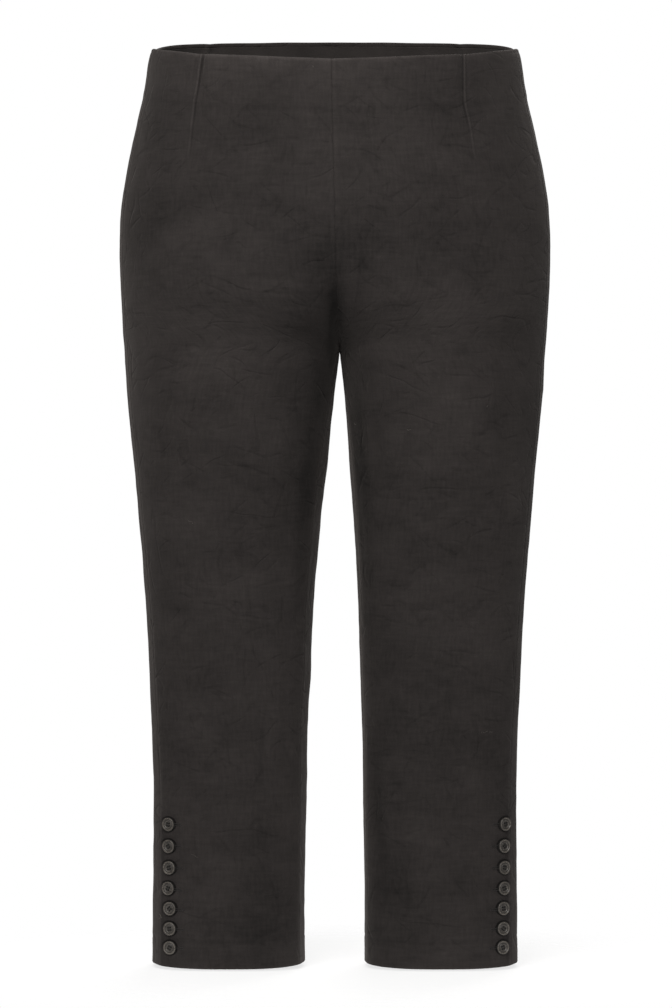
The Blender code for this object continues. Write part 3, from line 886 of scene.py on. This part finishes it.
class Panel:
    """One cut panel: the smooth grid of its solid's outside, and the worked cloth laid over it."""

    def __init__(self, name):
        self.name = name
        self.where, self.side_name = name.split("_")
        self.side = SIDES[self.side_name]
        self.on_front = self.where == "front"
        self.hand = self.side if self.on_front else -self.side
        coarse = panel_grid(name)
        row_steps = [ROW_STEP] * (coarse.shape[0] - 1)
        column_steps = [COLUMN_STEP[self.where]] * (coarse.shape[1] - 1)
        dart = DART_COLUMN[self.where]
        column_steps[dart - 1 : dart + 1] = [DART_STEP[self.where]] * 2
        if self.on_front:
            column_steps[dart - 2] = DART_STEP[self.where]
            column_steps[:VENT_COLUMNS] = [VENT_STEP] * VENT_COLUMNS
            row_steps = np.where(coarse[1:, 0, 2] < -VENT_TOP, VENT_STEP, ROW_STEP)
        row_cuts = cuts_along(coarse, row_steps, RIM_PLACES, HEM_PLACES)
        column_cuts = cuts_along(coarse.swapaxes(0, 1), column_steps, EDGE_PLACES, EDGE_PLACES)
        wide = refined(coarse.swapaxes(0, 1), column_cuts).swapaxes(0, 1)
        self.smooth = refined(wide, row_cuts)
        self.normals = normals_of(self.smooth, self.hand)
        self.across = run_lengths(self.smooth, 1)
        self.inward = self.across[:, -1:] - self.across
        self.down = run_lengths(self.smooth, 0) + RIM_PLACES[0]
        self.up = self.down[-1:] - self.down + HEM_PLACES[0]
        self.in_vent = self.on_front * ramp(self.down, VENT_TOP - VENT_EASE, VENT_TOP + VENT_EASE)
        dart_line = self.across[:, sum(len(places) for places in column_cuts[:dart]), None]
        self.from_dart = self.across - dart_line + np.interp(self.down, DART_DROPS, DART_SHIFTS[self.side])
        self.dart_taper = np.clip(1 - self.down / DART_LENGTH, 0.0, 1.0) ** DART_POINT
        if not self.on_front:
            self.dart_taper *= ramp(self.down, *DART_START)
        edge = np.minimum(np.minimum(self.across, self.inward), np.minimum(self.down, self.up))
        self.loose = ramp(edge, *CRUMPLE_FADE)
        self.creases = self.loose * crease_depths(name, self.smooth)
        self.middles = self.button_middles()
        self.dimpled = self.dimples()
        self.drawn = self.depths()
        self.worked = self.smooth - self.normals * self.drawn[..., None]

    def depths(self):
        """How far each point is drawn in by seams, darts, edges, creases and crumple."""
        across, inward, down, up = self.across, self.inward, self.down, self.up
        flat = self.on_front * FLAT_FRONT * ramp(down, *FLAT_TOP) * (1 - ramp(down, *FLAT_FOOT))
        depths = lined(across, SEAM_GROOVE) * (1 - self.in_vent) + lined(inward, SEAM_GROOVE) * (1 - flat)
        depths += lined(across, SEAM_RIDGE) + lined(inward, SEAM_RIDGE) * (1 - flat)
        depths += self.dart_taper * (lined(self.from_dart, DART_GROOVE) + lined(self.from_dart, DART_RIDGE))
        depths += lined(down, RIM_GROOVE) + banded(down, FACING_BAND) + banded(up, HEM_BAND)
        picks = 1 - HEM_UNEVEN + HEM_UNEVEN * np.prod([np.sin(across * wave) for wave in HEM_WAVES], axis=0)
        depths += picks * lined(up, HEM_GROOVE) + self.in_vent * banded(across, VENT_BAND)
        return depths + DIMPLE * self.dimpled + self.creases + self.loose * crumple_depths(self.smooth)

    def button_middles(self):
        """Where the buttons on this panel are, as x and z."""
        if not self.on_front:
            return []
        nodes = [f"button_{self.side_name}_{number}" for number in range(1, BUTTON_COUNT + 1)]
        middles = [(low + high) / 2 / MM for low, high in map(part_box, nodes)]
        return [np.array((middle.x, middle.z)) for middle in middles]

    def dimples(self):
        """How far the cloth is drawn in round its buttons, most on the side away from the vent."""
        depths = np.zeros(self.across.shape)
        aside, above = DIMPLE_SHIFT
        for middle in self.middles:
            away = self.smooth[..., [0, 2]] - middle + (self.side * aside, -above)
            depths = np.maximum(depths, bell(np.linalg.norm(away, axis=-1), DIMPLE_WIDTH))
        return depths

    def button_edges(self):
        """How far outside the nearest button's edge each point is, and how much above and inwards of it."""
        distances, towards = np.full(self.across.shape, FAR_OFF), np.zeros(self.across.shape)
        for middle in self.middles:
            away = self.smooth[..., [0, 2]] - middle
            distance = np.linalg.norm(away, axis=-1) - BUTTON_RADIUS
            inwards = unit(away) @ unit(np.array((-self.side, 1.0)))
            towards = np.where(distance < distances, inwards, towards)
            distances = np.minimum(distances, distance)
        return distances, towards

    def turned(self, row, before, radius):
        """Rows of the cloth as it rolls over the edge at a row, on from the one before it."""
        edge, out = self.worked[row], self.normals[row]
        over = unit(edge - self.worked[before])
        rolls = [(math.cos(turn) - 1, math.sin(turn)) for turn in ROLL_TURNS]
        return [edge + out * radius * back + over * radius * beyond for back, beyond in rolls]

    def sheet(self):
        """The whole worked sheet: turned in at the waist, hemmed at the foot."""
        rim = self.turned(0, 1, RIM_RADIUS)
        tail = [r for r in range(1, len(self.down)) if self.down[r].mean() < RIM_PLACES[0] + RIM_TAIL]
        rim += [self.worked[r] - self.normals[r] * 2 * RIM_RADIUS for r in tail]
        hem = self.turned(-1, -2, HEM_RADIUS)
        tail = [r for r in range(len(self.up) - 2, 0, -2) if self.up[r].mean() < HEM_DEPTH]
        hem += [self.worked[r] - self.normals[r] * 2 * HEM_RADIUS for r in tail]
        return np.concatenate([rim[::-1], self.worked, hem]), len(rim), len(hem)

    def wear_and_painted_light(self):
        """How much lighter each point is, from wear and from painted light and shade, and darker below
        nothing.
        """
        across, inward, down, up = self.across, self.inward, self.down, self.up
        # Wear lines lighten the nap; shade lines are painted shade at the facing's lower edge, the hem's
        # stitched line and by the vent edge
        lightness = lined(down, RIM_WEAR[self.where]) + banded(down, FACING_TONE) + lined(down, FACING_SHADE)
        lightness += lined(up, HEM_WEAR) + banded(up, HEM_TONE) + lined(up, HEM_SHADE)
        lightness += lined(across, SEAM_WEAR) + lined(inward, SEAM_WEAR)
        lightness += self.in_vent * (lined(across, VENT_WEAR) + lined(across, VENT_SHADE))
        # Painted shade in the creases' hollows and the dimples round the buttons, painted light on the
        # creases' ridges
        lightness -= CREASE_SHADE * self.creases + DIMPLE_SHADE * self.dimpled
        # Painted light and shade on the front, lighter where the light falls most and darker in the crotch
        # and inner legs
        for x, z, wide, high, amount in LIGHT_AND_SHADE_PATCHES if self.on_front else ():
            aside, above = (self.smooth[..., 0] - x) / wide, (self.smooth[..., 2] - z) / high
            lightness += amount * np.exp(-(aside**2) - above**2)
        return lightness

    def marks(self, above, below):
        """What the finish reads at each point: wear with painted light and shade, and the ways from the dart
        and the buttons.
        """
        distances, towards = self.button_edges()
        fields = {
            "wear_and_painted_light": self.wear_and_painted_light(),
            "from_dart": self.from_dart,
            "dart_taper": self.dart_taper,
            "from_button": distances,
            "over_button": towards,
        }
        return {name: np.pad(field, ((above, below), (0, 0)), "edge") for name, field in fields.items()}

    def eased(self):
        """How far a second layer has to lie in to clear the darts and creases, as one soft run."""
        reach, count = range(EASE_REACH + 1), self.drawn.shape[1]
        wide = np.pad(self.drawn, ((0, 0), (EASE_REACH, EASE_REACH)), "edge")
        highest = np.max([wide[:, shift : shift + count + EASE_REACH] for shift in reach], axis=0)
        return np.mean([highest[:, shift : shift + count] for shift in reach], axis=0)

    def column_at(self, row, distance, edge=0):
        """The place along a row that far from one of its edges, counted in columns."""
        run = self.across[row]
        reach = distance if edge == 0 else run[-1] - distance
        return np.interp(reach, run, np.arange(len(run)))

    def raised(self, r, c, lift):
        """A spot on the worked cloth, between its points, raised by the lift."""
        low, left = min(int(r), len(self.worked) - 2), min(int(c), self.worked.shape[1] - 2)
        r, c = r - low, c - left
        spot = 0.0
        for grid, share in ((self.worked, 1.0), (self.normals, lift)):
            top = grid[low, left] * (1 - c) + grid[low, left + 1] * c
            foot = grid[low + 1, left] * (1 - c) + grid[low + 1, left + 1] * c
            spot = spot + (top * (1 - r) + foot * r) * share
        return spot

    def strip(self, row, edge, distances, depth):
        """Places that far from an edge on a row, pushed inwards by the depth."""
        columns = [self.column_at(int(round(row)), distance, edge) for distance in distances]
        return [self.raised(row, column, -depth) for column in columns]

    def lay(self, thing, row, column, spots):
        """Lay a piece's corners on the cloth, at spots given as across, down and out from a place on it."""
        for corner, (across, down, lift) in zip(thing.data.vertices, spots):
            drop = self.down[row, column] + down
            r = np.interp(drop, self.down[:, column], np.arange(len(self.down)))
            c = self.column_at(int(round(r)), self.across[row, column] + across)
            corner.co = Vector(self.raised(r, c, lift)) * MM

    def nearest(self, point, axes=(0, 1, 2)):
        """Row and column of the worked cloth nearest a point, measured along those axes."""
        away = np.linalg.norm(self.worked[..., list(axes)] - np.array(point), axis=-1)
        return np.unravel_index(away.argmin(), away.shape)


def way_to(points, line):
    """Where each point is nearest to a line, counted in the line's points, and the way there."""
    starts, steps = line[:-1], np.diff(line, axis=0)
    offsets = points[:, None] - starts
    t = np.clip((offsets * steps).sum(axis=-1) / (steps**2).sum(axis=-1), 0.0, 1.0)
    ways = steps * t[..., None] - offsets
    nearest = np.linalg.norm(ways, axis=-1).argmin(axis=1)
    rows = np.arange(len(points))
    return nearest + t[rows, nearest], ways[rows, nearest]


def sew(panels, seam):
    """Bring the two edges of a seam together."""
    first, second = (panels[seam.first], seam.first_edge), (panels[seam.second], seam.second_edge)
    moves = []
    for (panel, edge), (other, other_edge) in ((first, second), (second, first)):
        ways = way_to(panel.worked[:, edge], other.worked[:, other_edge])[1]
        gaps = np.linalg.norm(ways, axis=1)
        close = 1 - ramp(gaps, *SEWN_REACH)
        if edge == 0:
            close *= panel.down[:, 0] < VENT_TOP
        share = np.clip(1 - SEWN_GAP / np.maximum(gaps, TINY), 0.0, 1.0) / 2
        moves.append((panel, edge, ways * (share * close)[:, None]))
    for panel, edge, move in moves:
        panel.worked[:, edge] += move


def declare_sheet(node=None):
    """Hide the solid that a sheet stands for, where it has one."""
    if node:
        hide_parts(node)


def dress_panel(panel, outside, inside):
    """The panel's cloth in place of its solid."""
    points, above, below = panel.sheet()
    marks = panel.marks(above, below)
    thing = cloth_sheet(panel.name + "_cloth", points, CLOTH, (outside, inside), panel.hand, marks)
    declare_sheet(panel.name)


def dress_facing(where, right, left, material):
    """The facing inside the waist edge, in one strip from side seam to side seam."""
    strips = []
    for panel in (right, left):
        rows = [r for r, down in enumerate(panel.down.mean(axis=1)) if FACING_TOP < down < FACING_DEPTH]
        columns = list(range(0, panel.across.shape[1] - 1, 2)) + [panel.across.shape[1] - 1]
        rolled = 1 - ramp(panel.down, RIM_PLACES[-1], RIM_PLACES[-1] + FACING_ROLL)
        depths = FACING_SEAT + rolled * (2 * RIM_RADIUS - FACING_SEAT - FACING_CLOTH)
        depths += (1 - rolled) * panel.eased() + rolled * panel.drawn
        depths += lined(panel.inward, FACING_MIDDLE)
        seat = panel.smooth - panel.normals * depths[..., None]
        strips.append(seat[rows][:, columns])
    rows = min(len(strip) for strip in strips)
    strips = [strip[:rows] for strip in strips]
    middle = (strips[0][:, -1:] + strips[1][:, -1:]) / 2
    points = np.concatenate([strips[0][:, :-1], middle, strips[1][:, -2::-1]], axis=1)
    name = f"facing_{where}"
    thing = cloth_sheet(name + "_cloth", points, FACING_CLOTH, (material,), right.hand)
    declare_sheet(name)


def dress_underlap(side_name, front, back, material):
    """The strip behind the vent edge that the buttons are sewn to, reaching in under the back."""
    places = way_to(front.worked[:, 0], back.worked[:, 0])[0]
    points = []
    for row in range(len(front.down)):
        if front.down[row, 0] > VENT_TOP and front.up[row, 0] > UNDERLAP_END:
            doubled = front.up[row, 0] < HEM_DEPTH + HEM_CLEAR
            depth = UNDERLAP_HEM_SEAT if doubled else UNDERLAP_SEAT
            there = back.strip(places[row], 0, UNDERLAP_BEYOND, depth)
            points.append(front.strip(row, 0, UNDERLAP_PLACES, depth) + there)
    points = np.array(points)[:, ::-1]
    name = f"underlap_{side_name}"
    thing = cloth_sheet(name + "_cloth", points, UNDERLAP_CLOTH, (material,), front.hand)
    declare_sheet(name)


def dress_turnings(name, panels, seam, material):
    """The two seam turnings, ironed open inside."""
    first, second = panels[seam.first], panels[seam.second]
    places, ways = way_to(first.worked[:, seam.first_edge], second.worked[:, seam.second_edge])
    down, up = first.down[:, seam.first_edge], first.up[:, seam.first_edge]
    shown = (down > seam.top) & (down < seam.bottom) & (up > TURNING_END)
    points = []
    for row in np.flatnonzero(shown & (np.linalg.norm(ways, axis=1) < SEWN_CLOSE))[::2]:
        here = first.strip(row, seam.first_edge, TURNING_PLACES, TURNING_SEAT)
        there = second.strip(places[row], seam.second_edge, TURNING_PLACES[::-1], TURNING_SEAT)
        inwards = unit(here[-1] - first.strip(row, seam.first_edge, TURNING_PLACES[-1:], 0.0)[0])
        middle = (here[-1] + there[0]) / 2 - inwards * TURNING_FOLD
        points.append(here + [middle] + there)
    points = np.array(points)
    hand = first.hand if seam.first_edge == -1 else -first.hand
    thing = cloth_sheet("turnings_" + name, points, TURNING_CLOTH, (material,), hand)
    declare_sheet()


# ---- Buttons and buttonholes ----


def turned_button():
    """A button with a raised edge, a channel, an inner ring and four holes round its middle."""
    disc = cylinder(48, BUTTON_RADIUS, BUTTON_BASE, (0, 0, BUTTON_BASE / 2))
    for side, rings in ((1, BUTTON_RINGS), (-1, [BUTTON_BACK])):
        select_in_edit(disc, "FACE", lambda face: face.normal.z * side > END_FACE)
        for ring in rings:
            bpy.ops.mesh.inset(thickness=ring.inset * MM, depth=ring.rise * MM)
        bpy.ops.object.mode_set(mode="OBJECT")
    sharp = {"limit_method": "ANGLE", "angle_limit": BEVEL_ABOVE}
    changed(disc, "BEVEL", width=BUTTON_BEVEL * MM, segments=2, **sharp)
    middles = [(across * HOLE_PLACE, up * HOLE_PLACE, 1.0) for across in (1, -1) for up in (1, -1)]
    drill = joined([cylinder(16, HOLE_RADIUS, DRILL_LENGTH, middle) for middle in middles])
    changed(disc, "BOOLEAN", operation="DIFFERENCE", object=drill)
    bpy.data.objects.remove(drill, do_unlink=True)
    bpy.ops.object.shade_smooth_by_angle(angle=BUTTON_SMOOTH)
    # Painted shade with some dirt, by distance from the middle: darkest round the holes, in the channel and
    # at the edge
    distances = [corner.co.xy.length / MM for corner in disc.data.vertices]
    shade_and_grime = disc.data.attributes.new("shade_and_grime", "FLOAT", "POINT")
    shade_and_grime.data.foreach_set("value", np.interp(distances, SHADE_AND_GRIME_PLACES, SHADE_AND_GRIME))
    return disc


def sewn_thread():
    """Two bars of doubled thread over the button's middle and the shank that they make under it."""
    level = BUTTON_BASE + sum(ring.rise for ring in BUTTON_RINGS) + STRAND_LIFT
    bars = []
    for place in [up * HOLE_PLACE + aside for up in (1, -1) for aside in (-STRAND_ASIDE, STRAND_ASIDE)]:
        bar = cylinder(10, STRAND_RADIUS, 2 * HOLE_PLACE, (0, place, level), (0, math.pi / 2, 0))
        for end in (1, -1):
            select_in_edit(bar, "FACE", lambda face: face.normal.x * end > END_FACE)
            for out, down in STRAND_BENDS:
                bend = {"value": (end * out * MM, 0, down * MM)}
                bpy.ops.mesh.extrude_region_move(TRANSFORM_OT_translate=bend)
            bpy.ops.object.mode_set(mode="OBJECT")
        bars.append(bar)
    thread = joined([cylinder(14, SHANK_RADIUS, SHANK_LENGTH, (0, 0, SHANK_PLACE))] + bars[::-1])
    bpy.ops.object.shade_smooth_by_angle(angle=THREAD_SMOOTH)
    return thread


def purled_ring():
    """The stitched ring of a buttonhole, lying along X with its start at the origin."""
    bpy.ops.object.select_all(action="DESELECT")
    bpy.ops.mesh.primitive_torus_add(
        major_radius=PURL_GAP * MM, minor_radius=PURL_RADIUS * MM, major_segments=24, minor_segments=8
    )
    ring = bpy.context.object
    select_in_edit(ring, "VERT", lambda corner: corner.co.x > 0.01 * MM)
    bpy.ops.transform.translate(value=((BUTTONHOLE_LENGTH - 2 * PURL_GAP) * MM, 0, 0))
    bpy.ops.object.mode_set(mode="OBJECT")
    cut_along(ring, 0, 4 * MM, PURL_CUTS)
    return ring


def placed_copy(model, name, placing, material):
    """A copy of a modelled piece with its own mesh, put in place there."""
    mesh = model.data.copy()
    mesh.name = name
    mesh.transform(placing)
    mesh.materials.clear()
    mesh.materials.append(material)
    thing = placed(name, mesh)
    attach(thing, BODY)
    return thing


def button_seat(node, panel):
    """Where a button's back is, which way it faces, and the row and column of the cloth nearest it."""
    corners = np.array([corner.co[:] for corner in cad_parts[node].data.vertices])
    middle = (corners.min(axis=0) + corners.max(axis=0)) / 2
    axis = np.linalg.svd(corners - corners.mean(axis=0), full_matrices=False)[2][2]
    row, column = panel.nearest(middle / MM)
    if axis @ panel.normals[row, column] < 0:
        axis = -axis
    back = ((corners - middle) @ axis).min()
    return middle + axis * back, axis, row, column


def dress_buttons(side_name, panel, horn, thread, purl):
    """Seven sewn buttons and their buttonholes down one vent."""
    disc, sewn, ring = turned_button(), sewn_thread(), purled_ring()
    threads, holes = [], []
    for number in range(1, BUTTON_COUNT + 1):
        node = f"button_{side_name}_{number}"
        seat, axis, row, column = button_seat(node, panel)
        upright = Vector(axis).to_track_quat("Z", "Y").to_matrix().to_4x4()
        spin = Matrix.Rotation(math.radians(BUTTON_SPINS[side_name][number - 1]), 4, "Z")
        placing = Matrix.Translation(seat) @ upright @ spin
        button = placed_copy(disc, node + "_disc", placing, horn)
        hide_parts(node)
        threads.append(placed_copy(sewn, node + "_thread", placing, thread))
        hole = placed_copy(ring, node + "_hole", Matrix.Identity(4), purl)
        spots = [corner.co / MM + Vector(BUTTONHOLE_START) for corner in hole.data.vertices]
        panel.lay(hole, row, column, spots)
        holes.append(hole)
    for pieces, name in ((threads, "button_threads"), (holes, "buttonholes")):
        whole = joined(pieces)
        whole.name = whole.data.name = f"{name}_{side_name}"
        outward(whole)
    for model in (disc, sewn, ring):
        bpy.data.objects.remove(model, do_unlink=True)


def dress_snags(panels, material):
    """Pale snags and lint lying on the cloth."""
    hairs = []
    swing, pace = SNAG_WAVE
    for number, snag in enumerate(SNAGS):
        panel, length = panels[snag.panel], math.dist(snag.start, snag.end)
        hair = cylinder(6, snag.width / 2, length)
        cut_along(hair, 2, length * MM / 2, SNAG_CUTS)
        row, column = panel.nearest(snag.start, (0, 2))
        slope = math.atan2(snag.start[1] - snag.end[1], panel.side * (snag.start[0] - snag.end[0]))
        spots = []
        for corner in hair.data.vertices:
            x, y, z = corner.co / MM
            along = z + length / 2
            bend = y + swing * math.sin(along * pace + number)
            across = along * math.cos(slope) - bend * math.sin(slope)
            down = along * math.sin(slope) + bend * math.cos(slope)
            spots.append((across, down, x + snag.width * SNAG_LIFT))
        panel.lay(hair, row, column, spots)
        hair.data.materials.append(material)
        hairs.append(hair)
    lint = joined(hairs)
    lint.name = lint.data.name = "snags"
    outward(lint)
    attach(lint, BODY)


def outward(thing):
    """Turn a closed piece's faces outwards and shade it smooth."""
    only(thing)
    bpy.ops.object.mode_set(mode="EDIT")
    bpy.ops.mesh.select_all(action="SELECT")
    bpy.ops.mesh.normals_make_consistent(inside=False)
    bpy.ops.object.mode_set(mode="OBJECT")
    bpy.ops.object.shade_smooth_by_angle(angle=THREAD_SMOOTH)


# ---- Studio ----


def area_light(name, light):
    """A soft rectangular light aimed at a point."""
    lamp = bpy.data.lights.new(name, "AREA")
    lamp.shape = "RECTANGLE"
    lamp.size, lamp.size_y = light.size
    lamp.energy, lamp.color = light.power, light.tint
    thing = placed(name, lamp)
    thing.visible_camera = False
    thing.location = light.place
    thing.rotation_euler = (Vector(light.target) - Vector(light.place)).to_track_quat("-Z", "Y").to_euler()


def soft_sky():
    """A white backdrop all round that lights the garment more softly than it looks."""
    world = bpy.data.worlds.new("soft_sky")
    world.use_nodes = True
    nodes, links = world.node_tree.nodes, world.node_tree.links
    seen = nodes["Background"]
    lit = nodes.new("ShaderNodeBackground")
    seen.inputs["Color"].default_value = lit.inputs["Color"].default_value = WHITE
    lit.inputs["Strength"].default_value = AMBIENT
    chosen, rays = nodes.new("ShaderNodeMixShader"), nodes.new("ShaderNodeLightPath")
    links.new(rays.outputs["Is Camera Ray"], chosen.inputs["Fac"])
    links.new(lit.outputs["Background"], chosen.inputs[1])
    links.new(seen.outputs["Background"], chosen.inputs[2])
    links.new(chosen.outputs["Shader"], nodes["World Output"].inputs["Surface"])
    bpy.context.scene.world = world


def studio():
    """The pale floor, the soft light and the camera."""
    bpy.ops.object.select_all(action="DESELECT")
    bpy.ops.mesh.primitive_plane_add(size=FLOOR_SIZE, location=(0, 0, FLOOR_LEVEL))
    floor = bpy.context.object
    floor.name = "floor"
    floor.data.materials.append(studio_floor())
    soft_sky()
    for name, light in LIGHTS.items():
        area_light(name, light)
    lens = bpy.data.cameras.new("camera")
    lens.lens = CAMERA_LENS
    lens.sensor_width = 36.0
    lens.sensor_fit = "AUTO"
    lens.clip_end = 100.0
    camera = placed("camera", lens)
    camera.location = CAMERA_PLACE
    camera.rotation_euler = (math.pi / 2, 0, 0)
    bpy.context.scene.camera = camera
    bpy.context.scene.view_settings.view_transform = "Standard"


def dress():
    """Put every finished piece over its solid."""
    cloth, inside = brushed_cloth(), plain_inside()
    thread = stitched_thread("button_thread", rgb(0.004, 0.0035, 0.0034), rgb(0.012, 0.0106, 0.0100))
    purl = stitched_thread("buttonhole_purl", rgb(0.012, 0.0104, 0.0098), rgb(0.030, 0.0262, 0.0247))
    horn = marbled_horn()
    names = [f"{where}_{side_name}" for where in ("front", "back") for side_name in SIDES]
    panels = {name: Panel(name) for name in names}
    for seam in SEAMS.values():
        sew(panels, seam)
    for panel in panels.values():
        dress_panel(panel, cloth, inside)
    for name, seam in SEAMS.items():
        dress_turnings(name, panels, seam, cloth)
    for where in ("front", "back"):
        dress_facing(where, panels[where + "_right"], panels[where + "_left"], inside)
    for side_name in SIDES:
        front, back = panels["front_" + side_name], panels["back_" + side_name]
        dress_underlap(side_name, front, back, inside)
        dress_buttons(side_name, front, horn, thread, purl)
    dress_snags(panels, pale_lint())


dress()
studio()
